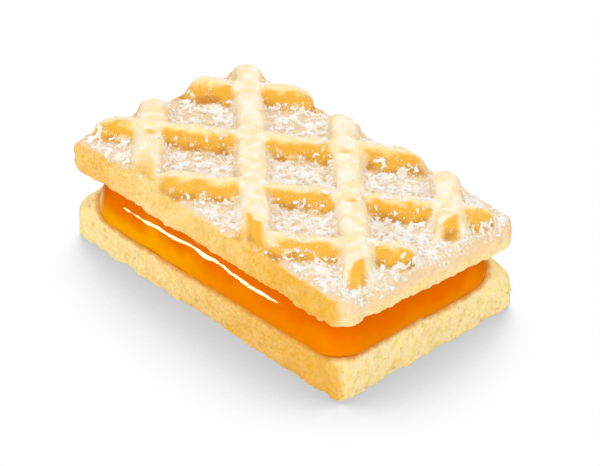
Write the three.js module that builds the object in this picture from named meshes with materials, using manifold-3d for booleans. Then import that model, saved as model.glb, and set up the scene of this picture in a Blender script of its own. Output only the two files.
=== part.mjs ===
// Jam-filled waffle biscuit: two pale golden biscuits with a thick layer of orange jam between them.
// Millimetres, +Z up. The origin is the middle of the flat underside, and +X runs along the long side.

import * as THREE from 'three';
import { mergeVertices } from 'three/addons/utils/BufferGeometryUtils.js';
import Module from 'manifold-3d';

const wasm = await Module();
wasm.setup();

// ---- Driving dimensions ----

const biscuitLength = 65;
const biscuitWidth = 39.2;
const touchingGap = 0.3; // between pieces that lie on each other
const edgeWander = 0.16; // how far a baked side strays from a straight line
const wanderSeeds = { bottom: 1.7, jam: 4.1, top: 2.9 };
const wanderWaves = [
  { x: 0.31, y: 0.23, phase: 1 },
  { x: -0.19, y: 0.57, phase: 2.1 },
];
// A lower edge's heights and insets, as shares of its size.
const softEdge = [
  { height: 0, inset: 1 },
  { height: 1, inset: 0.12 },
  { height: 2.8, inset: 0 },
];

const bottomBiscuit = {
  height: 8.4,
  wallHeight: 4.6, // where the side starts to round over
  shoulderDepth: 3.0, // how far the rounding reaches in
  cornerRadius: 2.0,
  cornerSoftening: 1.4, // corners widen by this much for each millimetre of inset
  lowerEdge: 0.4,
};

const jam = {
  insets: { left: 1.6, right: 0.6, front: 0.1, back: 1.5 }, // at -X, +X, -Y and +Y
  cornerRadius: 6.0,
  lipHeight: 6.35, // lowest point of the lip that hangs over the lower biscuit
  lipRise: 0.25, // the lip is higher towards +X and +Y by this much
  lipRadius: 0.7,
  bulgeHeight: 7.3, // where the layer is widest
  topRecess: 2.4, // how far it draws in under the upper biscuit
  flare: 0.48, // how much straighter than an arc the side leans
  arcShare: 0.98, // share of a quarter arc that the side follows
};

const topBiscuit = {
  undersideHeight: 12.67,
  tilt: -0.0423, // the jam is thicker along one long side, so the upper biscuit leans
  lowerEdge: 0.5,
  wallHeight: 3.7, // where the side starts to round over
  floorHeight: 5.3, // pocket floors, above the underside
  rimDepth: 1.3,
  crestHeight: 8.6, // no ridge is higher
  crestInset: 0.35, // ridges stay this far inside the outline
  crestDepth: 3.2, // and round down over this depth towards it
  cornerRadius: 2.5,
  cornerSoftening: 1.0,
};

// Waffle ridges. Each runs straight seen from above, on y = slope * x + crossing, from one x to
// another. Falling ridges are broad with steep sides, rising ones rounder with sloping sides.
const fallingRidge = { crestWidth: 3.4, wallRun: 1.5, crownDrop: 0.3 };
const risingRidge = { crestWidth: 1.6, wallRun: 2.9, crownDrop: 0.15 };
const ridges = [
  { ...fallingRidge, slope: -0.949, crossing: -32.0, fromX: -31.6, toX: -13.4, relief: 2.8 },
  { ...fallingRidge, slope: -0.86, crossing: -8.2, fromX: -31.2, toX: 12.2, relief: 3.1 },
  { ...fallingRidge, slope: -0.865, crossing: 12.2, fromX: -7.6, toX: 31.6, relief: 3.1 },
  { ...fallingRidge, slope: -0.901, crossing: 33.5, fromX: 16.2, toX: 31.4, relief: 2.9 },
  { ...risingRidge, slope: 0.807, crossing: 30.6, fromX: -31.6, toX: -14.6, relief: 3.2 },
  { ...risingRidge, slope: 0.776, crossing: 9.5, fromX: -31.8, toX: 12.4, relief: 3.1 },
  { ...risingRidge, slope: 0.782, crossing: -9.4, fromX: -12.4, toX: 31.6, relief: 3.0 },
  { ...risingRidge, slope: 0.87, crossing: -28.9, fromX: 11.8, toX: 31.4, relief: 2.8 },
];
const ridgeForm = {
  endRun: 3.4, // length over which an end rises from the floor
  footDepth: 1.2, // how far a ridge reaches into the slab
  wave: 0.12, // how unevenly a crest was pressed
  waveLength: 15,
};

const colours = {
  biscuit: 0xf0c67a,
  jam: 0xf08200,
};

// ---- Closed solids from stacked outlines ----

const straightSteps = { long: 14, short: 9 };
const cornerSteps = 6;

// How far the baked side strays at a place on the outline.
function wander(x, y, seed) {
  const sum = wanderWaves.reduce(
    (total, wave) => total + Math.sin(wave.x * x + wave.y * y + wave.phase * seed),
    0,
  );
  return (edgeWander * sum) / wanderWaves.length;
}

// A rounded rectangle at one height. levelOf may lift or lower each point.
function outline({ halfLength, halfWidth, radius, z, seed, shift, levelOf }) {
  const corners = [
    [1, 1],
    [-1, 1],
    [-1, -1],
    [1, -1],
  ];
  const points = [];
  corners.forEach(([signX, signY], corner) => {
    const centre = new THREE.Vector2(signX * (halfLength - radius), signY * (halfWidth - radius));
    const startAngle = (corner * Math.PI) / 2;
    for (let step = 0; step <= cornerSteps; step++) {
      const angle = startAngle + ((Math.PI / 2) * step) / cornerSteps;
      const normal = new THREE.Vector2(Math.cos(angle), Math.sin(angle));
      points.push({ place: centre.clone().addScaledVector(normal, radius), normal });
    }
    const last = points[points.length - 1];
    const [nextX, nextY] = corners[(corner + 1) % corners.length];
    const next = new THREE.Vector2(nextX * (halfLength - radius), nextY * (halfWidth - radius))
      .addScaledVector(last.normal, radius);
    const steps = corner % 2 === 0 ? straightSteps.long : straightSteps.short;
    for (let step = 1; step < steps; step++) {
      points.push({ place: last.place.clone().lerp(next, step / steps), normal: last.normal });
    }
  });
  return points.map(({ place, normal }) => {
    place.addScaledVector(normal, wander(place.x, place.y, seed));
    if (shift) place.add(shift);
    return new THREE.Vector3(place.x, place.y, levelOf ? levelOf(place.x, place.y, z) : z);
  });
}

// Joins outlines from the bottom up and closes both ends with fans.
function stack(rings) {
  const count = rings[0].length;
  const points = rings.flat();
  const faces = [];
  for (let ring = 0; ring < rings.length - 1; ring++) {
    for (let i = 0; i < count; i++) {
      const a = ring * count + i;
      const b = ring * count + ((i + 1) % count);
      faces.push(a, b, b + count, a, b + count, a + count);
    }
  }
  const middle = (ring) =>
    ring.reduce((sum, point) => sum.add(point), new THREE.Vector3()).divideScalar(count);
  const lowest = points.push(middle(rings[0])) - 1;
  const highest = points.push(middle(rings[rings.length - 1])) - 1;
  const topStart = (rings.length - 1) * count;
  for (let i = 0; i < count; i++) {
    const next = (i + 1) % count;
    faces.push(lowest, next, i);
    faces.push(highest, topStart + i, topStart + next);
  }
  return geometryOf(points, faces);
}

function geometryOf(points, faces) {
  const geometry = new THREE.BufferGeometry().setFromPoints(points);
  geometry.setIndex(faces);
  return geometry;
}

// Heights and insets of a quarter of an ellipse, from upright to level.
function rounding({ fromHeight, toHeight, fromInset = 0, depth, steps }) {
  return Array.from({ length: steps + 1 }, (_, step) => {
    const angle = ((Math.PI / 2) * step) / steps;
    return {
      z: fromHeight + (toHeight - fromHeight) * Math.sin(angle),
      inset: fromInset + depth * (1 - Math.cos(angle)),
    };
  });
}

function lowerEdgeProfile(size) {
  return softEdge.map(({ height, inset }) => ({ z: height * size, inset: inset * size }));
}

// A biscuit's outlines, one for each height and inset of its side profile.
function biscuitRings(profile, { cornerRadius, cornerSoftening }, seed, grow = 0) {
  return profile.map(({ z, inset }) =>
    outline({
      halfLength: biscuitLength / 2 - inset + grow,
      halfWidth: biscuitWidth / 2 - inset + grow,
      radius: cornerRadius + cornerSoftening * inset + grow,
      z,
      seed,
    }),
  );
}

// ---- Joining and cutting ----

function solidOf(geometry) {
  const bare = geometry.clone();
  bare.deleteAttribute('normal');
  bare.deleteAttribute('uv');
  const merged = mergeVertices(bare, 1e-5);
  return new wasm.Manifold(
    new wasm.Mesh({
      numProp: 3,
      vertProperties: new Float32Array(merged.attributes.position.array),
      triVerts: new Uint32Array(merged.index.array),
    }),
  );
}

function geometryFrom(solid) {
  const mesh = solid.getMesh();
  const geometry = new THREE.BufferGeometry();
  geometry.setAttribute('position', new THREE.BufferAttribute(mesh.vertProperties, mesh.numProp));
  geometry.setIndex(new THREE.BufferAttribute(mesh.triVerts, 1));
  geometry.computeVertexNormals();
  return geometry;
}

// ---- Lower biscuit: flat underside, upright sides and a broad soft shoulder ----

function bottomBiscuitGeometry(grow = 0) {
  const { height, wallHeight, shoulderDepth, lowerEdge } = bottomBiscuit;
  const profile = [
    ...lowerEdgeProfile(lowerEdge),
    ...rounding({ fromHeight: wallHeight, toHeight: height + grow, depth: shoulderDepth, steps: 6 }),
  ];
  return stack(biscuitRings(profile, bottomBiscuit, wanderSeeds.bottom, grow));
}

// ---- Jam: a band that bulges outwards and hangs a little over the lower biscuit ----

// Height of the upper biscuit's underside at a place across its width.
function undersideAt(y) {
  return topBiscuit.undersideHeight + topBiscuit.tilt * y;
}

function jamGeometry() {
  const { left, right, front, back } = jam.insets;
  const halfLength = (biscuitLength - left - right) / 2;
  const halfWidth = (biscuitWidth - front - back) / 2;
  const lipLift = (x, y) => jam.lipRise * (x / halfLength + y / halfWidth);
  const ring = (inset, levelOf) =>
    outline({
      halfLength: halfLength - inset,
      halfWidth: halfWidth - inset,
      radius: jam.cornerRadius - inset / 2,
      seed: wanderSeeds.jam,
      shift: new THREE.Vector2((left - right) / 2, (front - back) / 2),
      levelOf,
    });
  const rings = [];
  const lipSteps = 3;
  for (let step = 0; step <= lipSteps; step++) {
    const angle = ((Math.PI / 2) * step) / lipSteps;
    const z = jam.bulgeHeight - (jam.bulgeHeight - jam.lipHeight) * Math.cos(angle);
    rings.push(ring(jam.lipRadius * (1 - Math.sin(angle)), (x, y) => z + lipLift(x, y)));
  }
  const sideSteps = 6;
  for (let step = 1; step <= sideSteps; step++) {
    const rise = step / sideSteps;
    const arc = 1 - Math.sqrt(1 - (jam.arcShare * rise) ** 2);
    const inset = jam.topRecess * arc + jam.flare * rise * (1 - rise);
    rings.push(
      ring(inset, (x, y) => {
        const low = jam.bulgeHeight + lipLift(x, y);
        return low + (undersideAt(y) - touchingGap - low) * rise;
      }),
    );
  }
  const cutter = solidOf(bottomBiscuitGeometry(touchingGap));
  return geometryFrom(solidOf(stack(rings)).subtract(cutter));
}

// ---- Upper biscuit: a slab with a rounded rim, and the waffle's ridges on it ----

// Half of a ridge's cross-section from the crest's middle to the foot, as [across, height] pairs.
function halfSection({ crestWidth, wallRun, crownDrop, relief }) {
  const halfCrest = crestWidth / 2;
  const crownSteps = 2;
  const wallSteps = 4;
  const section = [];
  for (let step = 0; step < crownSteps; step++) {
    const out = step / crownSteps;
    section.push([halfCrest * out, relief - crownDrop * out * out]);
  }
  for (let step = 0; step <= wallSteps; step++) {
    const down = step / wallSteps;
    const height = ((relief - crownDrop) * (1 + Math.cos(Math.PI * down))) / 2;
    section.push([halfCrest + wallRun * down, height]);
  }
  section.push([halfCrest + wallRun, -ridgeForm.footDepth]);
  return section;
}

// Distances along a ridge, close together where its ends rise.
function stationsAlong(length) {
  const { endRun } = ridgeForm;
  const endSteps = 5;
  const middleSteps = Math.round(length / 8);
  const rising = Array.from({ length: endSteps }, (_, step) => endRun * (step / endSteps) ** 2);
  const level = Array.from(
    { length: middleSteps + 1 },
    (_, step) => endRun + ((length - 2 * endRun) * step) / middleSteps,
  );
  const sinking = rising.map((distance) => length - distance).reverse();
  return [...rising, ...level, ...sinking];
}

// A bar with a rounded top that sinks to the floor at both ends.
function ridgeGeometry(ridge) {
  const { endRun, wave, waveLength } = ridgeForm;
  const length = (ridge.toX - ridge.fromX) * Math.hypot(1, ridge.slope);
  const along = new THREE.Vector2(1, ridge.slope).normalize();
  const start = new THREE.Vector2(ridge.fromX, ridge.slope * ridge.fromX + ridge.crossing);
  const half = halfSection(ridge);
  const section = [...half.slice(1).reverse(), ...half.map(([across, z]) => [-across, z])];
  const rings = stationsAlong(length).map((distance) => {
    const fromEnd = Math.min(distance, length - distance, endRun) / endRun;
    const swell = 1 + (wave / ridge.relief) * Math.sin((2 * Math.PI * distance) / waveLength);
    const rise = swell * Math.sqrt(1 - (1 - fromEnd) ** 2);
    return section.map(
      ([across, z]) =>
        new THREE.Vector3(
          start.x + along.x * distance - along.y * across,
          start.y + along.y * distance + along.x * across,
          topBiscuit.floorHeight + (z > 0 ? z * rise : z),
        ),
    );
  });
  return stack(rings);
}

function slabGeometry() {
  const { lowerEdge, wallHeight, floorHeight, rimDepth } = topBiscuit;
  const profile = [
    ...lowerEdgeProfile(lowerEdge),
    ...rounding({ fromHeight: wallHeight, toHeight: floorHeight, depth: rimDepth, steps: 4 }),
  ];
  return stack(biscuitRings(profile, topBiscuit, wanderSeeds.top));
}

// The space that the ridges may fill: it rounds down towards the biscuit's outline.
function ridgeSpaceGeometry() {
  const { wallHeight, crestHeight, crestInset, crestDepth } = topBiscuit;
  const profile = [
    { z: wallHeight - ridgeForm.footDepth, inset: crestInset },
    ...rounding({
      fromHeight: wallHeight,
      toHeight: crestHeight,
      fromInset: crestInset,
      depth: crestDepth,
      steps: 6,
    }),
  ];
  return stack(biscuitRings(profile, topBiscuit, wanderSeeds.top));
}

function topBiscuitGeometry() {
  const bars = ridges.map((ridge) => solidOf(ridgeGeometry(ridge)));
  const waffle = bars.reduce((joined, bar) => joined.add(bar)).intersect(solidOf(ridgeSpaceGeometry()));
  return geometryFrom(solidOf(slabGeometry()).add(waffle));
}

// ---- The whole biscuit ----

function piece(name, geometry, colour, roughness) {
  const material = new THREE.MeshStandardMaterial({ color: colour, roughness, metalness: 0 });
  const mesh = new THREE.Mesh(geometry, material);
  mesh.name = name;
  return mesh;
}

const biscuit = new THREE.Group();

biscuit.add(piece('bottom_biscuit', bottomBiscuitGeometry(), colours.biscuit, 0.85));
biscuit.add(piece('jam_filling', jamGeometry(), colours.jam, 0.12));

const top = piece('top_biscuit', topBiscuitGeometry(), colours.biscuit, 0.85);
const leanAtMidHeight = (topBiscuit.tilt * topBiscuit.wallHeight) / 2;
top.rotation.x = Math.atan(topBiscuit.tilt);
top.position.set(0, leanAtMidHeight, topBiscuit.undersideHeight);
biscuit.add(top);

export default biscuit;
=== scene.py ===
from math import cos, radians, sin, sqrt

import bpy
import numpy as np
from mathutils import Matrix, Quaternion, Vector, noise
from mathutils.bvhtree import BVHTree


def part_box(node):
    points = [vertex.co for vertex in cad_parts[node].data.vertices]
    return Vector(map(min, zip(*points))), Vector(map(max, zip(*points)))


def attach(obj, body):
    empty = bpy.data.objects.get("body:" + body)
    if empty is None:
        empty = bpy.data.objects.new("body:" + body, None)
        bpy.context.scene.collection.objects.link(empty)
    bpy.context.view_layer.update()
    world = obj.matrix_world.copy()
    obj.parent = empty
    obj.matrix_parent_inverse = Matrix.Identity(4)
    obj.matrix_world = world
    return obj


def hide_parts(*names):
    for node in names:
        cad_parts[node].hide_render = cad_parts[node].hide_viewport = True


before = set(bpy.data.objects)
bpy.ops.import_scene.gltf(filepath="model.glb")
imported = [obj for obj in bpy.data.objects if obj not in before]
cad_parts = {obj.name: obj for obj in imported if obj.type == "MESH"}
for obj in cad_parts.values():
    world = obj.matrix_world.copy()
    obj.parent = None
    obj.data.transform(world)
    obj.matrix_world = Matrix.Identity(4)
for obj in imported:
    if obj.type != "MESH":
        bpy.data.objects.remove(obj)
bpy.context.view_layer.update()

mm = 0.001
nearEnough = 0.01 * mm  # points this close together count as one
farAway = 1.0  # metres, further than any two points of the biscuit lie apart
weightSteps = 16  # fine enough for a vertex group and quick to fill
rootBody = "root"

camera = {
    "azimuth": 47.085,  # degrees round from the front
    "elevation": 33.966,
    "distance": 440.3 * mm,
    "lookAt": (4.217 * mm, -1.719 * mm, 10.0 * mm),
    "lens": 162.7,
    "sensorWidth": 36,
    "nearest": 10 * mm,
}


def addCamera():
    turn, lift = radians(camera["azimuth"]), radians(camera["elevation"])
    back = Vector((sin(turn) * cos(lift), -cos(turn) * cos(lift), sin(lift)))
    place = Vector(camera["lookAt"]) + back * camera["distance"]
    bpy.ops.object.camera_add(location=place, rotation=back.to_track_quat("Z", "Y").to_euler())
    eye = bpy.context.object
    eye.data.lens = camera["lens"]
    eye.data.sensor_width = camera["sensorWidth"]
    eye.data.clip_start = camera["nearest"]
    bpy.context.scene.camera = eye


def deselectAll():
    bpy.ops.object.select_all(action="DESELECT")


def activate(piece):
    deselectAll()
    piece.select_set(True)
    bpy.context.view_layer.objects.active = piece


def applyModifier(piece, kind, **settings):
    activate(piece)
    bpy.ops.object.modifier_add(type=kind)
    modifier = piece.modifiers[-1]
    for name, value in settings.items():
        setattr(modifier, name, value)
    bpy.ops.object.modifier_apply(modifier=modifier.name)


def mergedCopy(node, name):
    # A new piece that starts as the solid's own shape, with its loose triangles joined.
    piece = bpy.data.objects.new(name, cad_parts[node].data.copy())
    bpy.context.collection.objects.link(piece)
    piece.data.materials.clear()
    activate(piece)
    bpy.ops.object.mode_set(mode="EDIT")
    bpy.ops.mesh.select_all(action="SELECT")
    bpy.ops.mesh.remove_doubles(threshold=nearEnough)
    bpy.ops.object.mode_set(mode="OBJECT")
    return piece


def remesh(piece, voxel):
    applyModifier(piece, "REMESH", mode="VOXEL", voxel_size=voxel, use_smooth_shade=True)


def roughen(piece, name, size, height, depth=1, group=""):
    # Pushes the surface in and out by a soft noise of the given lump size.
    texture = bpy.data.textures.new(name, "CLOUDS")
    texture.noise_scale = size
    texture.noise_depth = depth
    applyModifier(
        piece, "DISPLACE", texture=texture, texture_coords="LOCAL",
        strength=height, mid_level=0.5, vertex_group=group,
    )


def smoothShade(piece):
    activate(piece)
    bpy.ops.object.shade_smooth()


def vertexArrays(piece):
    count = len(piece.data.vertices)
    places = np.empty(count * 3, np.float32)
    normals = np.empty(count * 3, np.float32)
    piece.data.vertices.foreach_get("co", places)
    piece.data.vertices.foreach_get("normal", normals)
    return places.reshape(-1, 3).astype(float), normals.reshape(-1, 3).astype(float)


def placesOf(piece):
    return vertexArrays(piece)[0]


def ramp(values, low, high):
    share = np.clip((values - low) / (high - low), 0, 1)
    return share * share * (3 - 2 * share)


def softNoise(places, size, offset):
    # Smooth random values around 0, within about -0.5 to 0.5, with lumps of the given size.
    shift = Vector((offset, 2 * offset, 3 * offset))
    return np.array([noise.noise(Vector(place / size) + shift) for place in places])


def movePoints(piece, places):
    piece.data.vertices.foreach_set("co", places.astype(np.float32).ravel())
    piece.data.update()


def setAttribute(piece, name, values):
    layer = piece.data.attributes.new(name, "FLOAT", "POINT")
    layer.data.foreach_set("value", np.ascontiguousarray(values, np.float32))


def setWeights(piece, name, values):
    group = piece.vertex_groups.new(name=name)
    steps = np.round(np.clip(values, 0, 1) * weightSteps).astype(int)
    for step in range(1, weightSteps + 1):
        group.add(np.nonzero(steps == step)[0].tolist(), step / weightSteps, "REPLACE")


def distanceTo(piece, places):
    # How far each place lies outside another piece's surface, and 0 inside it.
    tree = BVHTree.FromObject(piece, bpy.context.evaluated_depsgraph_get())
    distances = np.zeros(len(places))
    for index, place in enumerate(places):
        point, normal, _, distance = tree.find_nearest(Vector(place))
        distances[index] = distance if (Vector(place) - point).dot(normal) > 0 else 0.0
    return distances


def insetOf(places, node):
    # How far a place lies inside the sides of the node's box.
    low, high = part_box(node)
    return np.minimum.reduce([
        places[:, 0] - low.x, high.x - places[:, 0], places[:, 1] - low.y, high.y - places[:, 1],
    ])


def reportSize(piece):
    piece.data.calc_loop_triangles()
    print(f"{piece.name}: {len(piece.data.loop_triangles)} triangles")


# Shader node helpers. A noise is given by its scale, detail and roughness.

def addNode(tree, kind, **settings):
    node = tree.nodes.new(kind)
    for name, value in settings.items():
        if name in node.inputs:
            node.inputs[name].default_value = value
        else:
            setattr(node, name, value)
    return node


def addNoise(tree, vector, scale, detail=3.0, rough=0.5):
    node = addNode(tree, "ShaderNodeTexNoise", Scale=scale, Detail=detail, Roughness=rough)
    tree.links.new(vector, node.inputs["Vector"])
    return node.outputs["Fac"]


def addMath(tree, operation, first, second):
    node = addNode(tree, "ShaderNodeMath", operation=operation)
    for socket, value in zip(node.inputs, (first, second)):
        if isinstance(value, (int, float)):
            socket.default_value = value
        else:
            tree.links.new(value, socket)
    return node.outputs[0]


def addSum(tree, first, firstWeight, second, secondWeight):
    return addMath(tree, "ADD", addMath(tree, "MULTIPLY", first, firstWeight),
                   addMath(tree, "MULTIPLY", second, secondWeight))


def addRange(tree, value, low, high, toLow=0.0, toHigh=1.0):
    node = addNode(tree, "ShaderNodeMapRange", interpolation_type="SMOOTHSTEP")
    for name, number in (("From Min", low), ("From Max", high), ("To Min", toLow), ("To Max", toHigh)):
        node.inputs[name].default_value = number
    tree.links.new(value, node.inputs["Value"])
    return node.outputs["Result"]


def addMix(tree, share, first, second):
    node = addNode(tree, "ShaderNodeMix", data_type="RGBA")
    tree.links.new(share, node.inputs["Factor"])
    for socket, value in ((node.inputs[6], first), (node.inputs[7], second)):  # the two colours
        if isinstance(value, tuple):
            socket.default_value = (*value, 1)
        else:
            tree.links.new(value, socket)
    return node.outputs[2]


def addBump(tree, shader, height, distance):
    node = addNode(tree, "ShaderNodeBump", Strength=1.0, Distance=distance)
    tree.links.new(height, node.inputs["Height"])
    tree.links.new(node.outputs["Normal"], shader.inputs["Normal"])


def attributeOf(tree, name):
    return addNode(tree, "ShaderNodeAttribute", attribute_name=name).outputs["Fac"]


def objectPlace(tree):
    return addNode(tree, "ShaderNodeTexCoord").outputs["Object"]


def splitPlace(tree, place):
    node = addNode(tree, "ShaderNodeSeparateXYZ")
    tree.links.new(place, node.inputs[0])
    return node.outputs


def newMaterial(name, surface):
    material = bpy.data.materials.new(name)
    material.use_nodes = True
    shader = material.node_tree.nodes["Principled BSDF"]
    for socket, value in surface.items():
        shader.inputs[socket].default_value = value
    return material, material.node_tree, shader


def newGroup(name, inputs, outputs):
    group = bpy.data.node_groups.new(name, "ShaderNodeTree")
    for socket, kind in inputs:
        group.interface.new_socket(socket, in_out="INPUT", socket_type=kind)
    for socket, kind in outputs:
        group.interface.new_socket(socket, in_out="OUTPUT", socket_type=kind)
    return group, group.nodes.new("NodeGroupInput"), group.nodes.new("NodeGroupOutput")


def placeGroup(tree, group, **values):
    node = tree.nodes.new("ShaderNodeGroup")
    node.node_tree = group
    for name, value in values.items():
        if isinstance(value, bpy.types.NodeSocket):
            tree.links.new(value, node.inputs[name])
        else:
            node.inputs[name].default_value = value
    return node


crumbColours = ("Pale", "Deep", "Pore", "Cream", "Olive")
crumb = {
    "patches": (260.0, 3.0, 0.6),
    "grain": (1700.0, 4.0, 0.7),
    "holes": (1150.0, 2.0, 0.4),
    "creamNoise": (520.0, 4.0, 0.7),
    "oliveNoise": (640.0, 3.0, 0.6),
    "patchWeight": 0.3,
    "grainWeight": 0.7,
    "browningRange": (0.36, 0.64, -0.2, 0.2),
    "creamRange": (0.44, 0.62),
    "oliveRange": (0.50, 0.66),
    "poreRange": (0.66, 0.76),
    "poreStrength": 0.7,
}


def makeCrumbGroup():
    # Baked crumb: cloudy browning, cream and olive spots, sandy grain and small pores, which are painted
    # darker as shade in the holes.
    inputs = [("Place", "NodeSocketVector")]
    inputs += [(name, "NodeSocketFloat") for name in ("Browning", "Mottling")]
    inputs += [(name, "NodeSocketColor") for name in crumbColours]
    outputs = [("Color", "NodeSocketColor"), ("Height", "NodeSocketFloat")]
    group, given, made = newGroup("bakedCrumb", inputs, outputs)
    place, mottling = given.outputs["Place"], given.outputs["Mottling"]
    grain = addNoise(group, place, *crumb["grain"])
    cloud = addSum(group, addNoise(group, place, *crumb["patches"]), crumb["patchWeight"],
                   grain, crumb["grainWeight"])
    cloud = addRange(group, cloud, *crumb["browningRange"])
    browning = addMath(group, "ADD", cloud, given.outputs["Browning"])
    tint = addMix(group, addRange(group, browning, 0.0, 1.0), given.outputs["Pale"], given.outputs["Deep"])
    for colour in ("Cream", "Olive"):
        spots = addNoise(group, place, *crumb[colour.lower() + "Noise"])
        spots = addRange(group, spots, *crumb[colour.lower() + "Range"])
        tint = addMix(group, addMath(group, "MULTIPLY", spots, mottling), tint, given.outputs[colour])
    # Pores dip the bump and are painted darker, as shade in the small holes.
    holes = addRange(group, addNoise(group, place, *crumb["holes"]), *crumb["poreRange"])
    poreDipAndShade = addMath(group, "MULTIPLY", holes, crumb["poreStrength"])
    group.links.new(addMix(group, poreDipAndShade, tint, given.outputs["Pore"]), made.inputs["Color"])
    group.links.new(addMath(group, "SUBTRACT", grain, poreDipAndShade), made.inputs["Height"])
    return group


dust = {
    "clumps": (700.0, 3.0, 0.6),
    "grains": (2600.0, 2.0, 0.6),
    "clumpWeight": 0.6,
    "grainWeight": 0.4,
    "raggedness": 2.2,
    "edge": (0.28, 0.72),
}


def makeDustGroup():
    # Powdered sugar that covers by the given amount, with grainy edges.
    inputs = [("Place", "NodeSocketVector"), ("Amount", "NodeSocketFloat")]
    outputs = [("Mask", "NodeSocketFloat"), ("Height", "NodeSocketFloat")]
    group, given, made = newGroup("sugarDust", inputs, outputs)
    place = given.outputs["Place"]
    spread = addSum(group, addNoise(group, place, *dust["clumps"]), dust["clumpWeight"],
                    addNoise(group, place, *dust["grains"]), dust["grainWeight"])
    uneven = addMath(group, "MULTIPLY", addMath(group, "SUBTRACT", spread, 0.5), dust["raggedness"])
    mask = addRange(group, addMath(group, "ADD", given.outputs["Amount"], uneven), *dust["edge"])
    group.links.new(mask, made.inputs["Mask"])
    group.links.new(addMath(group, "MULTIPLY", mask, spread), made.inputs["Height"])
    return group


# What both biscuits share: the colours of the crumb, its browning and the ragged lower edge.
bakedColours = {
    "pale": (1.0, 0.80, 0.37),
    "deep": (0.82, 0.42, 0.03),
    "pore": (0.80, 0.42, 0.12),
    "cream": (1.0, 0.79, 0.52),
    "olive": (0.88, 0.66, 0.17),
    # Bare wall colours with light painted in: a painted highlight at the top of a wall, plain golden
    # crust, painted shade at the foot.
    "wallTopHighlight": (1.0, 0.80, 0.40),
    "wall": (0.86, 0.47, 0.055),
    "wallFootShade": (0.60, 0.28, 0.05),
    "crest": (0.98, 0.78, 0.44),
    "pocket": (0.90, 0.63, 0.38),
    "sugar": (0.97, 0.85, 0.68),
    "sugarShade": (0.95, 0.75, 0.44),
    # painted shade in the crease along the jam, tinted jam-red
    "jamCreaseShade": (0.76, 0.26, 0.02),
}
bakedSurface = {
    "Roughness": 0.85,
    "Specular IOR Level": 0.25,
    "Subsurface Weight": 0.4,
    "Subsurface Scale": 1.0 * mm,
    "Subsurface Radius": (1.0, 0.55, 0.25),
}
baking = {
    "least": 0.16,
    "longSide": 0.04,
    "nearCorner": 0.64,  # the long sides are baked deeper towards the near corner
    "cornerReach": (-30 * mm, 30 * mm),
    "sideFacing": (0.35, 0.85),
    "cloudSize": 5 * mm,
    "clouds": 0.12,
    "leastSpots": 0.16,
    "endSpots": 0.5,  # the right end has the strongest spots
    "endFacing": (0.4, 0.85),
}
ragged = {
    "lumps": (1.5 * mm, 0.8 * mm, 3),
    "height": (0.3 * mm, 1.6 * mm),
    "depth": (0.6 * mm, 2.0 * mm),
    "calming": 0.5,  # the right end has lost fewer crumbs
    "calmReach": (28 * mm, 31 * mm),
}


def browningOf(places, normals, offset):
    longSide = ramp(np.abs(normals[:, 1]), *baking["sideFacing"])
    nearCorner = ramp(places[:, 0], *baking["cornerReach"])
    cloudy = softNoise(places, baking["cloudSize"], offset)
    sides = longSide * (baking["longSide"] + baking["nearCorner"] * nearCorner)
    return baking["least"] + sides + baking["clouds"] * cloudy


def mottlingOf(normals):
    return baking["leastSpots"] + baking["endSpots"] * ramp(normals[:, 0], *baking["endFacing"])


def raggedShare(places, base, inset):
    # Strongest at a biscuit's lower edge, where crumbs have broken off.
    calmEnd = 1 - ragged["calming"] * ramp(places[:, 0], *ragged["calmReach"])
    height = places[:, 2] - base
    return calmEnd * (1 - ramp(height, *ragged["height"])) * (1 - ramp(inset, *ragged["depth"]))


def bakedCrumb(tree, crumbGroup, place):
    # The crumb group with this biscuit's colours, browned by the piece's own attributes.
    colours = {name: (*bakedColours[name.lower()], 1) for name in crumbColours}
    return placeGroup(tree, crumbGroup, Place=place, Browning=attributeOf(tree, "browning"),
                      Mottling=attributeOf(tree, "mottling"), **colours)


# The relief of the upper biscuit, measured from its leaning underside. A ridge runs on
# y = slope * x + crossing, seen from above.
waffle = {
    "underside": 12.67 * mm,
    "lean": -0.0423,
    "floor": 5.3 * mm,
    "crest": 8.4 * mm,
    "falling": ((-0.949, -32.0 * mm), (-0.86, -8.2 * mm), (-0.865, 12.2 * mm), (-0.901, 33.5 * mm)),
    "rising": ((0.807, 30.6 * mm), (0.776, 9.5 * mm), (0.782, -9.4 * mm), (0.87, -28.9 * mm)),
    "stepHeight": 0.16 * mm,  # faint steps across the falling crests
    "stepLength": 2.7 * mm,
    "stepSharpness": 2.2,
    "stepWobble": ((0.6, 4.1 * mm), (0.5, 3.3 * mm)),  # strength and length along x and along y
    "notchDepth": 0.45 * mm,  # on a falling ridge, in front of each crossing
    "notchAway": 2.2 * mm,
    "notchNoise": (6 * mm, 31.0),  # which crossings have a notch
    "notchShare": (-0.15, 0.2),
    "endCover": 0.55,  # sugar has also stuck to the upper part of the right end
    "endTone": (0.3, 0.7),  # bare ridge ends show least at the left and most at the right
    "sugaredSlant": 0.5,
    "uneven": (2.2 * mm, 3.0),
}
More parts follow.
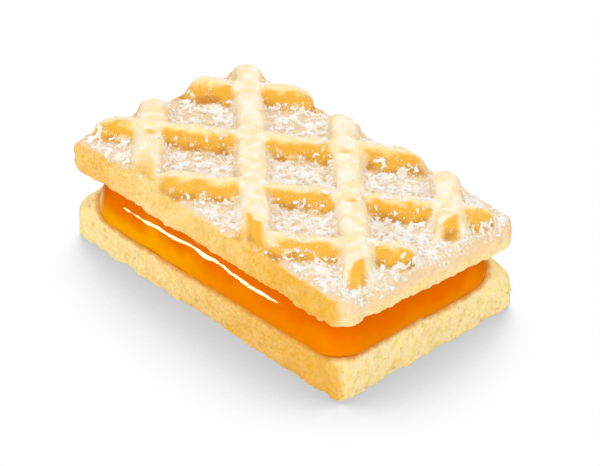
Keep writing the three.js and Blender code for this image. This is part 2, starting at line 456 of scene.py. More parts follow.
# Where each zone begins and is full, and how far its edge wanders.
zoneRanges = {
    "faceUp": (0.72, 0.97, 0),
    "faceAcross": (0.55, 0.85, 0),
    "relief": (4.9 * mm, 5.6 * mm, 0),  # heights over the underside
    "topSide": (4.2 * mm, 5.1 * mm, 0),
    "crest": (7.2 * mm, 8.1 * mm, 0),
    "endHeight": (1.5 * mm, 4.2 * mm, 2 * mm),
    "ridgeEndHeight": (5.7 * mm, 6.4 * mm, 0),
    "notchHeight": (6.4 * mm, 7.2 * mm, 0),
    "rim": (0.8 * mm, 3.0 * mm, 0.8 * mm),  # distances in from the sides
    "ridgeEndDepth": (3.4 * mm, 4.8 * mm, 1.2 * mm),
    "sugared": (-14 * mm, 26 * mm, 0),  # places along the biscuit
    "endReach": (24 * mm, 31 * mm, 0),
    "ridgeEndReach": (-22 * mm, 0, 0),
    "onFalling": (1.4 * mm, 2.6 * mm, 0),  # distances from the middle of a falling ridge
    "pastFalling": (1.9 * mm, 3.3 * mm, 1.6 * mm),
    "ridgeEndWidth": (0.7 * mm, 1.9 * mm, 0),
    "notchWidth": (0.5 * mm, 1.3 * mm, 0),
    "notchLength": (0.3 * mm, 1.0 * mm, 0),
    "fullPocket": (3.2 * mm, 7.0 * mm, 0),  # distances in front of a rising ridge
    "shoulderStart": (0.1 * mm, 0.9 * mm, 0.5 * mm),
    "shoulderEnd": (2.4 * mm, 3.2 * mm, 0),
    "crossing": (0.4 * mm, 1.2 * mm, 0.8 * mm),
    "pocketRise": (0.25, 0.55, 0),  # shares of the way from pocket floor to crest
}


def heightInWaffle(places):
    return places[:, 2] - waffle["underside"] - waffle["lean"] * places[:, 1]


def slopeOf(ridges):
    # The ridges of one kind are nearly parallel, so the second stands for all.
    return waffle[ridges][1][0]


def signedDistance(places, slope, crossing):
    return (places[:, 1] - slope * places[:, 0] - crossing) / sqrt(1 + slope * slope)


def nearestRidge(places, ridges):
    return np.minimum.reduce([np.abs(signedDistance(places, *ridge)) for ridge in ridges])


def nearestCrossing(places):
    nearest = np.full(len(places), farAway)
    for fallSlope, fallCrossing in waffle["falling"]:
        for riseSlope, riseCrossing in waffle["rising"]:
            x = (riseCrossing - fallCrossing) / (fallSlope - riseSlope)
            y = fallSlope * x + fallCrossing
            nearest = np.minimum(nearest, np.hypot(places[:, 0] - x, places[:, 1] - y))
    return nearest


def facingAcross(normals, slope):
    # How squarely a wall faces away from a ridge with this slope, whichever way it leans.
    sideways = np.hypot(normals[:, 0], normals[:, 1]) + 1e-6  # never quite 0
    return np.abs(normals[:, 1] - slope * normals[:, 0]) / sqrt(1 + slope * slope) / sideways


def waffleZones(piece):
    # Shares from 0 to 1 that say where sugar lies and where the bare baked walls show.
    places, normals = vertexArrays(piece)
    x, y = places[:, 0], places[:, 1]
    low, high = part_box("top_biscuit")
    height = heightInWaffle(places)
    uneven = softNoise(places, *waffle["uneven"])
    behind = [signedDistance(places, *ridge) for ridge in waffle["rising"]]
    fromRising = np.minimum.reduce([np.where(d < 0, -d, farAway) for d in behind])
    fromFalling = nearestRidge(places, waffle["falling"])

    def share(zone, values):
        start, full, wander = zoneRanges[zone]
        return ramp(values + wander * uneven, start, full)

    overEnd = waffle["endCover"] * share("endHeight", height) * share("endReach", x)
    zones = {
        "steep": 1 - share("faceUp", normals[:, 2]),
        "risingWall": share("faceAcross", facingAcross(normals, slopeOf("rising"))),
        "topSide": np.maximum(share("topSide", height), overEnd),
        "relief": share("relief", height),
        "crest": share("crest", height),
        "riseShare": np.clip((height - waffle["floor"]) / (waffle["crest"] - waffle["floor"]), 0, 1),
        "rim": share("rim", np.minimum.reduce([y - low.y, high.y - y, x - low.x])),
        "sugared": share("sugared", x + waffle["sugaredSlant"] * y),
        "fallingCrest": 1 - share("onFalling", fromFalling),
        "pastFalling": share("pastFalling", fromFalling),
        "fullPocket": share("fullPocket", fromRising),
        "crossing": 1 - share("crossing", nearestCrossing(places)),
    }
    nearFront = 1 - share("ridgeEndDepth", np.minimum(y - low.y, high.x - x))
    ridgeEnd = share("ridgeEndHeight", height) * nearFront * (1 - share("ridgeEndWidth", fromFalling))
    leastEnd, endGain = waffle["endTone"]
    zones["ridgeEnd"] = ridgeEnd * (leastEnd + endGain * share("ridgeEndReach", x))

    beforeCrossing = np.minimum.reduce([np.abs(d + waffle["notchAway"]) for d in behind])
    notch = (1 - share("notchLength", beforeCrossing)) * (1 - share("notchWidth", fromFalling))
    chosen = ramp(softNoise(places, *waffle["notchNoise"]), *waffle["notchShare"])
    zones["notch"] = notch * (share("notchHeight", height) * chosen)

    shoulder = share("shoulderStart", fromRising) * (1 - share("shoulderEnd", fromRising))
    wall = np.maximum(zones["steep"] * zones["risingWall"], shoulder)
    wall = wall * (zones["relief"] * zones["pastFalling"])
    zones["bareWall"] = np.maximum.reduce([wall, zones["ridgeEnd"], zones["notch"]])
    onFloor = 1 - share("pocketRise", zones["riseShare"])
    zones["pocket"] = (1 - zones["steep"]) * onFloor * zones["topSide"]
    zones["flank"] = zones["steep"] * (1 - zones["bareWall"])
    zones["loose"] = 1 - np.maximum(zones["ridgeEnd"], zones["notch"])  # loose sugar may lie here
    return zones


def stepCrests(piece, zones):
    # The press leaves faint steps and notches across the falling ridges.
    places = placesOf(piece)
    x, y = places[:, 0], places[:, 1]
    slope = slopeOf("falling")
    along = (x + slope * y) / sqrt(1 + slope * slope)
    (strengthX, lengthX), (strengthY, lengthY) = waffle["stepWobble"]
    wobble = strengthX * np.sin(x / lengthX) + strengthY * np.sin(y / lengthY)
    wave = np.sin(2 * np.pi * along / waffle["stepLength"] + wobble)
    step = np.clip(waffle["stepSharpness"] * wave, -1, 1) * zones["crest"] * zones["fallingCrest"]
    places[:, 2] += 0.5 * waffle["stepHeight"] * step - waffle["notchDepth"] * zones["notch"]
    movePoints(piece, places)


upper = {
    "voxel": 0.3 * mm,
    "smoothing": 10,
    "broadWaves": (7 * mm, 0.6 * mm),  # lump size, height and depth of each unevenness
    "ridgeWaves": (2.6 * mm, 0.55 * mm),
    "crumbLumps": (1.2 * mm, 0.4 * mm, 2),
    "crumbGrain": (0.42 * mm, 0.26 * mm, 2),
    "calmWalls": 0.85,
    "calmCrests": 0.4,
    "cloudOffset": 5.0,
    "browner": 0.06,  # than the lower biscuit
    "leftBrowner": 0.44,
    "leftReach": (8 * mm, 28 * mm),
    "crestRise": (0.3, 0.9),
    "endHighlightLoss": 0.45,  # how much of the wall's painted highlight the ridge ends lack
    "endPaintedShade": 0.8,  # how much of the pockets' tan the right end has, as painted shade
    "endFacing": (0.4, 0.8),
    "endHeight": (0.5 * mm, 4.0 * mm),
    "wallNoise": (300.0, 4.0, 0.65),
    "wallWander": (0.3, 0.7, -0.2, 0.2),
    # How far up a wall the painted shade at its foot and the painted highlight at its top reach.
    "wallShadeRise": (0.0, 0.5),
    "wallHighlightRise": (0.74, 1.18),
    "toneNoise": (420.0, 3.0, 0.6),
    "toneRange": (0.42, 0.62),
    "bump": 0.13 * mm,
}
coating = {  # how much powder lies on each zone, before its grainy edges
    "flat": 0.46,
    "fallingCrest": 0.46,
    "thinPatches": 0.24,
    "thinNoise": (1.5 * mm, 21.0),
    "thinRange": (0.0, 0.3),
    "crossingLoss": 0.55,
    "pocketLoss": 0.08,
    "flank": 0.6,
    "sugared": 0.12,
    "rim": (0.45, 0.55),  # at the very edge, and what is added further in
    "wallLoss": 0.75,
    "crept": 0.5,  # powder that has crept up the foot of a wall
    "creptNoise": (1.6 * mm, 17.0),
    "creptRange": (0.05, 0.3),
    "creptRise": (0.3, 0.9),
    "notchLoss": 0.8,
    "rightEnd": 0.26,
}


def powderCoat(places, zones):
    onFalling = zones["crest"] * zones["fallingCrest"]
    thin = ramp(softNoise(places, *coating["thinNoise"]), *coating["thinRange"])
    losses = coating["thinPatches"] * thin
    crest = coating["fallingCrest"] - losses - coating["crossingLoss"] * zones["crossing"]
    coat = (1 - zones["steep"]) * (coating["flat"] + onFalling * crest)
    coat -= coating["pocketLoss"] * zones["pocket"]
    coat += zones["steep"] * (1 - zones["risingWall"] * zones["pastFalling"]) * coating["flank"]
    coat += coating["sugared"] * zones["sugared"] * (1 - zones["bareWall"])
    atEdge, further = coating["rim"]
    onWall = 1 - coating["wallLoss"] * zones["bareWall"]
    coat *= (atEdge + further * zones["rim"]) * zones["topSide"] * onWall
    crept = ramp(softNoise(places, *coating["creptNoise"]), *coating["creptRange"])
    crept *= 1 - ramp(zones["riseShare"], *coating["creptRise"])
    coat += coating["crept"] * crept * zones["bareWall"]
    coat *= 1 - np.maximum(zones["ridgeEnd"], coating["notchLoss"] * zones["notch"])
    return coat


def makeUpperBiscuit():
    piece = mergedCopy("top_biscuit", "upperBiscuit")
    remesh(piece, upper["voxel"])
    applyModifier(piece, "SMOOTH", factor=0.5, iterations=upper["smoothing"])
    for name in ("broadWaves", "ridgeWaves"):
        roughen(piece, name, *upper[name])
    zones = waffleZones(piece)
    stepCrests(piece, zones)
    places, normals = vertexArrays(piece)
    base = waffle["underside"] + waffle["lean"] * places[:, 1]
    setWeights(piece, "ragged", raggedShare(places, base, insetOf(places, "top_biscuit")))
    roughen(piece, "raggedEdge", *ragged["lumps"], group="ragged")
    onWalls = 1 - upper["calmWalls"] * zones["bareWall"]
    onCrests = 1 - upper["calmCrests"] * zones["crest"]
    setWeights(piece, "crumby", onWalls * onCrests)
    for name in ("crumbLumps", "crumbGrain"):
        roughen(piece, name, *upper[name], group="crumby")

    rightEnd = ramp(normals[:, 0], *upper["endFacing"]) * ramp(heightInWaffle(places), *upper["endHeight"])
    leftEnd = ramp(-places[:, 0], *upper["leftReach"])
    browning = browningOf(places, normals, upper["cloudOffset"])
    browning = browning + upper["browner"] + upper["leftBrowner"] * leftEnd
    marks = {
        "sugarCoat": np.maximum(powderCoat(places, zones), coating["rightEnd"] * rightEnd),
        "bareWall": zones["bareWall"],
        # Ridge ends get less of the walls' painted highlight.
        "riseShare": zones["riseShare"] * (1 - upper["endHighlightLoss"] * zones["ridgeEnd"]),
        # The pockets' tan, also painted on the right end as shade.
        "pocketToneAndEndShade": np.maximum(zones["pocket"], upper["endPaintedShade"] * rightEnd),
        "crestShare": zones["relief"] * ramp(zones["riseShare"], *upper["crestRise"]),
        "browning": browning,
        "mottling": mottlingOf(normals),
    }
    for name, values in marks.items():
        setAttribute(piece, name, values)
    reportSize(piece)
    return piece, zones


def sugaredBiscuitMaterial(crumbGroup, dustGroup):
    material, tree, shader = newMaterial("sugaredBiscuit", bakedSurface)
    place = objectPlace(tree)
    baked = bakedCrumb(tree, crumbGroup, place)
    # Bare walls get painted shade at the foot and a painted highlight at the top, by height up the wall.
    wander = addRange(tree, addNoise(tree, place, *upper["wallNoise"]), *upper["wallWander"])
    rise = addMath(tree, "ADD", attributeOf(tree, "riseShare"), wander)
    foot = addRange(tree, rise, *upper["wallShadeRise"])
    wall = addMix(tree, foot, bakedColours["wallFootShade"], bakedColours["wall"])
    wall = addMix(tree, addRange(tree, rise, *upper["wallHighlightRise"]), wall, bakedColours["wallTopHighlight"])
    biscuit = baked.outputs["Color"]
    # Pocket tan on the pocket floors, and on the right end as painted shade.
    biscuit = addMix(tree, attributeOf(tree, "pocketToneAndEndShade"), biscuit, bakedColours["pocket"])
    biscuit = addMix(tree, attributeOf(tree, "crestShare"), biscuit, bakedColours["crest"])
    biscuit = addMix(tree, attributeOf(tree, "bareWall"), biscuit, wall)
    powder = placeGroup(tree, dustGroup, Place=place, Amount=attributeOf(tree, "sugarCoat"))
    shade = addRange(tree, addNoise(tree, place, *upper["toneNoise"]), *upper["toneRange"])
    tone = addMix(tree, shade, bakedColours["sugar"], bakedColours["sugarShade"])
    colour = addMix(tree, powder.outputs["Mask"], biscuit, tone)
    tree.links.new(colour, shader.inputs["Base Color"])
    height = addMath(tree, "ADD", baked.outputs["Height"], powder.outputs["Height"])
    addBump(tree, shader, height, upper["bump"])
    return material


lower = {
    "voxel": 0.31 * mm,
    "smoothing": 4,
    "lowerWaves": (7 * mm, 0.6 * mm, 1),  # lump size, height and depth of each unevenness
    "lowerBumps": (2.6 * mm, 0.5 * mm, 1),
    "lowerLumps": (1.4 * mm, 0.4 * mm, 2),
    "lowerGrain": (0.45 * mm, 0.24 * mm, 2),
    "restingBand": 0.15 * mm,  # the underside below this height stays flat
    "facingDown": -0.8,
    "cloudOffset": 9.0,
    # The painted crease shade along the jam: how its edge wanders and how it fades.
    "creaseShadeNoise": (700.0, 3.0),
    "creaseShadeWander": 1.2 * mm,
    "creaseShadeRange": (0.6 * mm, 1.6 * mm, 0.88, 0.0),  # from the jam outwards
    "bump": 0.22 * mm,
}


def makeLowerBiscuit():
    piece = mergedCopy("bottom_biscuit", "lowerBiscuit")
    remesh(piece, lower["voxel"])
    applyModifier(piece, "SMOOTH", factor=0.5, iterations=lower["smoothing"])
    places, normals = vertexArrays(piece)
    resting = (places[:, 2] < lower["restingBand"]) & (normals[:, 2] < lower["facingDown"])
    setWeights(piece, "crumby", np.where(resting, 0.0, 1.0))
    setWeights(piece, "ragged", raggedShare(places, 0.0, insetOf(places, "bottom_biscuit")))
    roughen(piece, "lowerRaggedEdge", *ragged["lumps"], group="ragged")
    for name in ("lowerWaves", "lowerBumps", "lowerLumps", "lowerGrain"):
        roughen(piece, name, *lower[name], group="crumby")
    places, normals = vertexArrays(piece)
    places[:, 2] = np.maximum(places[:, 2], 0)
    movePoints(piece, places)
    setAttribute(piece, "browning", browningOf(places, normals, lower["cloudOffset"]))
    setAttribute(piece, "mottling", mottlingOf(normals))
    reportSize(piece)
    return piece


def bakedBiscuitMaterial(crumbGroup):
    material, tree, shader = newMaterial("bakedBiscuit", bakedSurface)
    place = objectPlace(tree)
    baked = bakedCrumb(tree, crumbGroup, place)
    # Painted shade, tinted jam-red, in the crease where the crumb touches the jam, fading within a
    # millimetre.
    wander = addMath(tree, "MULTIPLY", addNoise(tree, place, *lower["creaseShadeNoise"]), lower["creaseShadeWander"])
    away = addMath(tree, "ADD", attributeOf(tree, "jamDistance"), wander)
    creaseShade = addRange(tree, away, *lower["creaseShadeRange"])
    colour = addMix(tree, creaseShade, baked.outputs["Color"], bakedColours["jamCreaseShade"])
    tree.links.new(colour, shader.inputs["Base Color"])
    addBump(tree, shader, baked.outputs["Height"], lower["bump"])
    return material


jam = {
    "corners": ((1, -1, 5.0 * mm), (-1, -1, 7.8 * mm), (1, 1, 8.2 * mm), (-1, 1, 6.5 * mm)),
    "cornerSegments": 10,
    "sideCuts": 24,
    "longEdge": 4 * mm,  # edges longer than this are cut
    "bulgeHeight": 7.3 * mm,  # where the layer is widest
    "sideSteps": 8,
    "topRecess": 2.4 * mm,
    "slant": 1.7,  # how soon the side starts to lean in
    "overlap": 0.5 * mm,  # how far it reaches into the upper biscuit
    "lipRings": ((0.45, 0.08), (0.3, 0.3), (0.2, 0.7), (0.1, 1.4), (0.05, 2.6)),  # mm down and in
    "lipRise": 0.25 * mm,
    "cornerRise": 0.5 * mm,  # the lip climbs towards the near corner
    "cornerReach": 20 * mm,
    "waves": (11 * mm, 0.3 * mm),
    "ripples": (3 * mm, 0.03 * mm),
    "cornerGlowFacing": (0.86, 0.94),  # how squarely a point faces left, where the thin jam gets painted light
    "pale": (0.89, 0.36, 0.0),
    "middle": (0.83, 0.225, 0.0),
    # painted shade near the top, under the upper biscuit
    "deep": (0.77, 0.155, 0.0),
    "edge": (0.55, 0.13, 0.0),  # painted shade where it meets the lower biscuit
    "thin": (0.96, 0.68, 0.34),  # painted light: the thin left corner is painted pale as if light shines through it
    # the painted light fades to this darker tone at the corner's foot
    "cornerGlowFoot": (0.66, 0.27, 0.03),
    "cloudNoise": (150.0, 3.0),
    "cloudWander": 8.0 * mm,
    "underBiscuitShadeHeight": (11.8 * mm, 15.6 * mm),
    "middleReach": (-10 * mm, 14 * mm),
    "contactShadeWidth": (0.1 * mm, 0.6 * mm),
    "cornerGlowHeight": (7.0 * mm, 9.5 * mm),
}
jamSurface = {
    "Roughness": 0.05,
    "IOR": 1.42,
    "Specular IOR Level": 0.3,
    "Subsurface Weight": 0.35,
    "Subsurface Scale": 2.0 * mm,
    "Subsurface Radius": (1.0, 0.4, 0.02),
}


def selectCorner(piece, x, y):
    bpy.ops.mesh.select_all(action="DESELECT")
    bpy.ops.object.mode_set(mode="OBJECT")
    for point in piece.data.vertices:
        point.select = abs(point.co.x - x) < nearEnough and abs(point.co.y - y) < nearEnough
    bpy.ops.object.mode_set(mode="EDIT")


def selectLongEdges(piece, shortest):
    bpy.ops.mesh.select_all(action="DESELECT")
    bpy.ops.object.mode_set(mode="OBJECT")
    points = piece.data.vertices
    for edge in piece.data.edges:
        first, second = (piece.matrix_world @ points[i].co for i in edge.vertices)
        edge.select = (first - second).length > shortest
    bpy.ops.object.mode_set(mode="EDIT")


def selectFaces(piece, wanted):
    bpy.ops.object.mode_set(mode="OBJECT")
    for face in piece.data.polygons:
        face.select = wanted(face)
    bpy.ops.object.mode_set(mode="EDIT")
    bpy.ops.mesh.select_mode(type="FACE")


def isFlatEnd(face):
    return len(face.vertices) > 8  # the rings between have faces of four corners


def closeEnds(piece):
    # The flat ends lie inside the biscuits.
    activate(piece)
    bpy.ops.object.mode_set(mode="EDIT")
    bpy.ops.mesh.select_all(action="SELECT")
    bpy.ops.mesh.fill_holes(sides=0)
    bpy.ops.mesh.select_all(action="SELECT")
    bpy.ops.mesh.normals_make_consistent(inside=False)
    bpy.ops.object.mode_set(mode="OBJECT")


def makeJam():
    low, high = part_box("jam_filling")
    bulge = jam["bulgeHeight"]
    centre = Vector(((low.x + high.x) / 2, (low.y + high.y) / 2, bulge))
    halfLength, halfWidth = (high.x - low.x) / 2, (high.y - low.y) / 2
    deselectAll()
    bpy.ops.mesh.primitive_plane_add(size=1, location=centre)
    piece = bpy.context.object
    piece.name = "jamFilling"
    bpy.ops.object.mode_set(mode="EDIT")
    bpy.ops.transform.resize(value=(2 * halfLength, 2 * halfWidth, 1))
    for alongX, alongY, radius in jam["corners"]:
        selectCorner(piece, alongX * halfLength, alongY * halfWidth)
        bpy.ops.mesh.bevel(offset=radius, segments=jam["cornerSegments"], affect="VERTICES")
    selectLongEdges(piece, jam["longEdge"])
    bpy.ops.mesh.subdivide(number_cuts=jam["sideCuts"])
    bpy.ops.mesh.select_all(action="SELECT")

    def ringTo(rise, inset, former):
        bpy.ops.mesh.extrude_region_move(TRANSFORM_OT_translate={"value": (0, 0, rise)})
        share = [(half - inset) / (half - former) for half in (halfLength, halfWidth)]
        bpy.ops.transform.resize(value=(*share, 1), center_override=centre)

    span = waffle["underside"] + jam["overlap"] - bulge
    former = 0.0
    for step in range(1, jam["sideSteps"] + 1):
        inset = jam["topRecess"] * (step / jam["sideSteps"]) ** jam["slant"]
        ringTo(span / jam["sideSteps"], inset, former)
        former = inset
    bpy.ops.mesh.select_all(action="DESELECT")
    selectFaces(piece, lambda face: abs(face.center.z) < nearEnough and isFlatEnd(face))
    former = 0.0
    for drop, inset in jam["lipRings"]:
        ringTo(-drop * mm, inset * mm, former * mm)
        former = inset
    selectFaces(piece, isFlatEnd)
    bpy.ops.mesh.delete(type="FACE")
    bpy.ops.object.mode_set(mode="OBJECT")
    bpy.ops.object.transform_apply(location=True, rotation=True, scale=True)
    for vertex in piece.data.vertices:
        x, y, z = vertex.co
        rise = max(0.0, (z - bulge) / span)
        lift = jam["lipRise"] * ((x - centre.x) / halfLength + (y - centre.y) / halfWidth)
        if y < 0:
            lift += jam["cornerRise"] * min(1.0, max(0.0, x / jam["cornerReach"]))
        vertex.co.z += rise * waffle["lean"] * y + (1 - rise) * lift
    applyModifier(piece, "SUBSURF", levels=2, render_levels=2)
    closeEnds(piece)
    roughen(piece, "jamWaves", *jam["waves"])
    roughen(piece, "jamRipples", *jam["ripples"])
    smoothShade(piece)
    reportSize(piece)
    return piece


def markContact(filling, biscuit):
    # How near jam and crumb come to each other, for the painted shade where they meet, and where the jam's
    # left corner is thin enough for painted light.
    places, normals = vertexArrays(filling)
    facingLeft = -(normals[:, 0] + normals[:, 1]) / sqrt(2)
    setAttribute(filling, "crumbDistance", distanceTo(biscuit, places))
    setAttribute(filling, "cornerGlow", ramp(facingLeft, *jam["cornerGlowFacing"]))
    setAttribute(biscuit, "jamDistance", distanceTo(filling, placesOf(biscuit)))


def jamMaterial():
    material, tree, shader = newMaterial("orangeJam", jamSurface)
    place = objectPlace(tree)
    parts = splitPlace(tree, place)
    cloud = addMath(tree, "MULTIPLY", addNoise(tree, place, *jam["cloudNoise"]), jam["cloudWander"])
    lengthwise = addRange(tree, addMath(tree, "ADD", parts["X"], cloud), *jam["middleReach"])
    # Darker towards the top, as painted shade under the upper biscuit.
    upwards = addRange(tree, addMath(tree, "ADD", parts["Z"], cloud), *jam["underBiscuitShadeHeight"])
    body = addMix(tree, upwards, addMix(tree, lengthwise, jam["pale"], jam["middle"]), jam["deep"])
    # Darker where it meets the crumb, as painted contact shade.
    inside = addRange(tree, attributeOf(tree, "crumbDistance"), *jam["contactShadeWidth"])
    body = addMix(tree, inside, jam["edge"], body)
    # Painted light through the thin left corner, darker towards its foot.
    thin = addMix(tree, addRange(tree, parts["Z"], *jam["cornerGlowHeight"]), jam["cornerGlowFoot"], jam["thin"])
    colour = addMix(tree, attributeOf(tree, "cornerGlow"), body, thin)
    tree.links.new(colour, shader.inputs["Base Color"])
    return material


sugar = {
    "thinnest": 0.12,  # thinner than this there is none, so that no lonely specks lie about
    "rim": (0.2, 0.8),  # share at the very edge, and what is added further in
    "ballDetail": 1,
    "anyTurn": 6.28,
    "drift": {
        "density": 5.6e6,
        "smallest": 0.17 * mm,
        "largest": 0.42 * mm,
        "seed": 7,
        "voxel": 0.18 * mm,
        "lumps": (0.45 * mm, 0.08 * mm),
        "rise": (0.15, 0.5),  # from the pocket floor towards the crest
        "inPocket": (0.45, 0.55),  # share at the foot of a rising wall, and what is added further out
        "noise": (1.0 * mm, 11.0),
        "gathering": 0.1,
        "bunches": (-0.26, 0.02),
        "bareLoss": 0.95,
        "flankLoss": 0.5,
    },
    "clump": {
        "density": 8.0e6,
        "smallest": 0.14 * mm,
        "largest": 0.42 * mm,
        "seed": 12,
        "voxel": 0.17 * mm,
        "lumps": (0.45 * mm, 0.11 * mm),
        "rise": (0.2, 0.75),
        "climbing": 0.5,
        "climbNoise": (2.4 * mm, 19.0),
        "onCrest": (0.2, 0.5),  # share at the left, and what is added towards the right
        "crestRise": (0.75, 0.95),
        "crestLoss": 0.85,
        "noise": (1.3 * mm, 15.0),
        "gathering": 0.14,
        "bunches": (-0.06, 0.26),
        "bareLoss": 0.5,
        "flankLoss": 0.6,
    },
    "grain": {
        "density": 5.0e6,
        "smallest": 0.07 * mm,
        "largest": 0.17 * mm,
        "seed": 17,
        "rim": (0.4, 0.6),
        "bareLoss": 0.8,
    },
    "white": (1.0, 0.95, 0.89),
    "cream": (0.94, 0.78, 0.62),
    "warm": (1.0, 0.90, 0.74),
    "warmShade": (0.97, 0.80, 0.52),
    "fineNoise": (2600.0, 3.0, 0.6),
    "shadeNoise": (600.0, 3.0, 0.6),
    "shadeRange": (0.40, 0.62),
    "bump": 0.15 * mm,
}
sugarSurface = {
    "Roughness": 0.95,
    "Specular IOR Level": 0.2,
    "Subsurface Weight": 0.4,
    "Subsurface Scale": 0.8 * mm,
    "Subsurface Radius": (1.0, 0.8, 0.65),
}


def scatterGroup(name, attribute, settings):
    # Spreads little uneven balls over a surface, as thick as the attribute says.
    group = bpy.data.node_groups.new(name, "GeometryNodeTree")
    group.interface.new_socket("Geometry", in_out="INPUT", socket_type="NodeSocketGeometry")
    group.interface.new_socket("Geometry", in_out="OUTPUT", socket_type="NodeSocketGeometry")
    nodes, links = group.nodes, group.links
    given, made = nodes.new("NodeGroupInput"), nodes.new("NodeGroupOutput")
    thick = nodes.new("GeometryNodeInputNamedAttribute")
    thick.data_type = "FLOAT"
    thick.inputs["Name"].default_value = attribute
    amount = nodes.new("ShaderNodeMath")
    amount.operation = "MULTIPLY"
    amount.inputs[1].default_value = settings["density"]
    links.new(thick.outputs["Attribute"], amount.inputs[0])
    spread = nodes.new("GeometryNodeDistributePointsOnFaces")
    spread.inputs["Seed"].default_value = settings["seed"]
    links.new(given.outputs[0], spread.inputs["Mesh"])
    links.new(amount.outputs[0], spread.inputs["Density"])
    ball = nodes.new("GeometryNodeMeshIcoSphere")
    ball.inputs["Radius"].default_value = 1.0
    ball.inputs["Subdivisions"].default_value = sugar["ballDetail"]
    size = nodes.new("FunctionNodeRandomValue")
    size.data_type = "FLOAT_VECTOR"
    size.inputs["Min"].default_value = [settings["smallest"]] * 3
    size.inputs["Max"].default_value = [settings["largest"]] * 3
    size.inputs["Seed"].default_value = settings["seed"] + 1
    turn = nodes.new("FunctionNodeRandomValue")
    turn.data_type = "FLOAT_VECTOR"
    turn.inputs["Max"].default_value = [sugar["anyTurn"]] * 3
    turn.inputs["Seed"].default_value = settings["seed"] + 2
    place = nodes.new("GeometryNodeInstanceOnPoints")
    links.new(spread.outputs["Points"], place.inputs["Points"])
    links.new(ball.outputs["Mesh"], place.inputs["Instance"])
    links.new(turn.outputs["Value"], place.inputs["Rotation"])
    links.new(size.outputs["Value"], place.inputs["Scale"])
    real = nodes.new("GeometryNodeRealizeInstances")
    links.new(place.outputs["Instances"], real.inputs[0])
    links.new(real.outputs[0], made.inputs[0])
    return group


def scatterOver(ground, name, values, settings):
    piece = bpy.data.objects.new(name, ground.data.copy())
    bpy.context.collection.objects.link(piece)
    piece.data.materials.clear()
    setAttribute(piece, "scattered", values)
    applyModifier(piece, "NODES", node_group=scatterGroup(name + "Scatter", "scattered", settings))
    return piece


def sugarLayer(ground, name, share, settings):
    # Small balls in bunches, grown together into uneven lumps.
    share[share < sugar["thinnest"]] = 0
    piece = scatterOver(ground, name, share, settings)
    remesh(piece, settings["voxel"])
    roughen(piece, name + "Lumps", *settings["lumps"])
    reportSize(piece)
    return piece


def rimShare(zones, least, gain):
    return least + gain * zones["rim"]


def driftShare(places, zones):
    # Fine sugar lies low in the pockets, thinnest against the rising walls.
    kind = sugar["drift"]
    low = 1 - ramp(zones["riseShare"], *kind["rise"])
    atWall, further = kind["inPocket"]
    nearWall = atWall + further * zones["fullPocket"]
    drawn = softNoise(places, *kind["noise"]) + kind["gathering"] * zones["sugared"]
    bunches = ramp(drawn, *kind["bunches"])
    share = zones["topSide"] * rimShare(zones, *sugar["rim"]) * low * nearWall * bunches
    share = share * (1 - kind["bareLoss"] * zones["bareWall"]) * (1 - kind["flankLoss"] * zones["flank"])
    return share * zones["loose"]


def clumpShare(places, zones):
    # Lumps lie in the pockets, climb some way up the walls and sit here and there on a crest.
    kind = sugar["clump"]
    reach = zones["riseShare"] - kind["climbing"] * softNoise(places, *kind["climbNoise"])
    share = (1 - ramp(reach, *kind["rise"])) * (1 - kind["bareLoss"] * zones["bareWall"])
    onRising = ramp(zones["riseShare"], *kind["crestRise"]) * (1 - zones["fallingCrest"])
    atLeft, towardsRight = kind["onCrest"]
    crests = (atLeft + towardsRight * zones["sugared"]) * onRising
    share += crests * (1 - kind["crestLoss"] * zones["bareWall"])
    drawn = softNoise(places, *kind["noise"]) + kind["gathering"] * zones["sugared"]
    bunches = ramp(drawn, *kind["bunches"])
    share = share * zones["topSide"] * rimShare(zones, *sugar["rim"]) * bunches
    return share * (1 - kind["flankLoss"] * zones["flank"]) * zones["loose"]


def grainShare(zones):
    # Single grains lie everywhere but on the crests and flanks.
    kind = sugar["grain"]
    share = zones["topSide"] * rimShare(zones, *kind["rim"]) * (1 - zones["crest"])
    return share * (1 - kind["bareLoss"] * zones["bareWall"]) * (1 - zones["flank"]) * zones["loose"]


def makeSugar(ground, zones):
    places = placesOf(ground)
    drift = sugarLayer(ground, "sugarDrift", driftShare(places, zones), sugar["drift"])
    clumps = sugarLayer(ground, "sugarClumps", clumpShare(places, zones), sugar["clump"])
    grains = scatterOver(ground, "sugarGrains", grainShare(zones), sugar["grain"])
    smoothShade(grains)
    reportSize(grains)
    return [drift, clumps, grains]


def sugarMaterial(name, light, shaded):
    material, tree, shader = newMaterial(name, sugarSurface)
    place = objectPlace(tree)
    shade = addRange(tree, addNoise(tree, place, *sugar["shadeNoise"]), *sugar["shadeRange"])
    tree.links.new(addMix(tree, shade, sugar[light], sugar[shaded]), shader.inputs["Base Color"])
    addBump(tree, shader, addNoise(tree, place, *sugar["fineNoise"]), sugar["bump"])
    return material


def finishPiece(piece, material, slot, *nodes):
    piece.data.materials.clear()
    piece.data.materials.append(material)
    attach(piece, rootBody)
    if nodes:
        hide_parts(*nodes)


studio = {
    "floorSize": 6.0,
    "floorGap": 0.05 * mm,  # keeps the floor from meeting the underside in one plane
    "shadowReach": 80 * mm,
    "shadowLean": (-0.35, 0.33, 0.88),  # the soft shadow falls towards the eye
    "shadowTones": (0.38, 0.78, 0.60, 1.0),
    "shadowSamples": 16,
    "aim": (0, 0, 10 * mm),
    "overhead": 0.88,  # brightness of the room straight above
    "horizon": 0.68,
    "overheadHeight": 0.8,
    "key": {"place": (-0.30, 0.52, 0.75), "size": (0.5, 0.5), "power": 2.1},
    "fill": {"place": (0.45, -0.62, 0.35), "size": (0.6, 0.6), "power": 2.6},
    "streak": {"place": (-0.348, -0.440, -0.003), "size": (0.07, 0.02), "power": 0.35, "roll": 35,
               "tint": (1.0, 0.88, 0.5)},
}
floorSurface = {
    "Base Color": (0.9, 0.9, 0.9, 1),
    "Roughness": 0.9,
    "Specular IOR Level": 0.0,
}


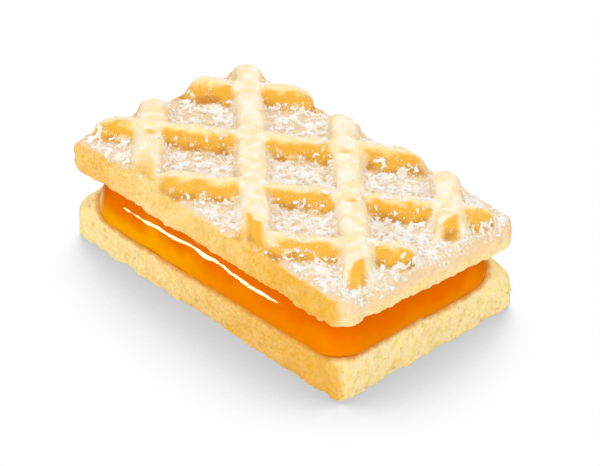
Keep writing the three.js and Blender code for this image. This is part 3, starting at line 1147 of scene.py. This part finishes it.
def floorMaterial():
    # The eye sees a neutral soft shadow, free of the warm light that the biscuit throws back.
    material, tree, shader = newMaterial("paleFloor", floorSurface)
    soft = addNode(tree, "ShaderNodeAmbientOcclusion", Distance=studio["shadowReach"])
    soft.samples = studio["shadowSamples"]
    lean = addNode(tree, "ShaderNodeCombineXYZ")
    for socket, value in zip(lean.inputs, studio["shadowLean"]):
        socket.default_value = value
    tree.links.new(lean.outputs[0], soft.inputs["Normal"])
    glow = addNode(tree, "ShaderNodeEmission")
    tree.links.new(addRange(tree, soft.outputs["AO"], *studio["shadowTones"]), glow.inputs["Strength"])
    seen = addNode(tree, "ShaderNodeMixShader")
    tree.links.new(addNode(tree, "ShaderNodeLightPath").outputs["Is Camera Ray"], seen.inputs[0])
    tree.links.new(shader.outputs[0], seen.inputs[1])
    tree.links.new(glow.outputs[0], seen.inputs[2])
    tree.links.new(seen.outputs[0], tree.nodes["Material Output"].inputs["Surface"])
    return material


def addFloor():
    deselectAll()
    bpy.ops.mesh.primitive_plane_add(size=studio["floorSize"], location=(0, 0, -studio["floorGap"]))
    floor = bpy.context.object
    floor.name = "floor"
    floor.visible_glossy = False
    floor.data.materials.append(floorMaterial())


def addLight(name, place, size, power, roll=0, tint=(1, 1, 1)):
    bpy.ops.object.light_add(type="AREA", location=place)
    lamp = bpy.context.object
    lamp.name = name
    lamp.data.shape = "RECTANGLE"
    lamp.data.size, lamp.data.size_y = size
    lamp.data.energy = power
    lamp.data.color = tint
    aim = Vector(studio["aim"]) - Vector(place)
    turn = Quaternion((0, 0, 1), radians(roll))
    lamp.rotation_euler = (aim.to_track_quat("-Z", "Y") @ turn).to_euler()
    lamp.visible_camera = False
    return lamp


def addRoom():
    room = bpy.data.worlds.new("softRoom")
    room.use_nodes = True
    tree = room.node_tree
    upwards = splitPlace(tree, addNode(tree, "ShaderNodeTexCoord").outputs["Generated"])["Z"]
    glow = addRange(tree, upwards, 0.0, studio["overheadHeight"], studio["horizon"], studio["overhead"])
    background = tree.nodes["Background"]
    background.inputs["Color"].default_value = (1, 1, 1, 1)
    tree.links.new(glow, background.inputs["Strength"])
    room.cycles_visibility.glossy = False
    bpy.context.scene.world = room


def addStudio():
    addFloor()
    for name in ("key", "fill"):
        addLight(name + "Light", **studio[name]).visible_glossy = False
    streak = addLight("streakLight", **studio["streak"])
    streak.visible_diffuse = False  # it only makes the long highlight on the jam
    addRoom()
    bpy.context.scene.view_settings.view_transform = "Standard"


addCamera()
addStudio()
print("modelling the upper biscuit")
upperBiscuit, waffleShares = makeUpperBiscuit()
print("scattering the sugar")
sugarPieces = makeSugar(upperBiscuit, waffleShares)
print("modelling the lower biscuit")
lowerBiscuit = makeLowerBiscuit()
print("modelling the jam")
jamFilling = makeJam()
markContact(jamFilling, lowerBiscuit)

print("finishing the surfaces")
bakedCrumbGroup, sugarDustGroup = makeCrumbGroup(), makeDustGroup()
sugaredBiscuit = sugaredBiscuitMaterial(bakedCrumbGroup, sugarDustGroup)
finishPiece(upperBiscuit, sugaredBiscuit, "sugared_biscuit", "top_biscuit")
finishPiece(lowerBiscuit, bakedBiscuitMaterial(bakedCrumbGroup), "baked_biscuit", "bottom_biscuit")
finishPiece(jamFilling, jamMaterial(), "orange_jam", "jam_filling")
powderedSugar = sugarMaterial("powderedSugar", "white", "cream")
sugarSpecks = sugarMaterial("sugarSpecks", "warm", "warmShade")
for sugarPiece, finish in zip(sugarPieces, (powderedSugar, powderedSugar, sugarSpecks)):
    finishPiece(sugarPiece, finish, "sugared_biscuit")
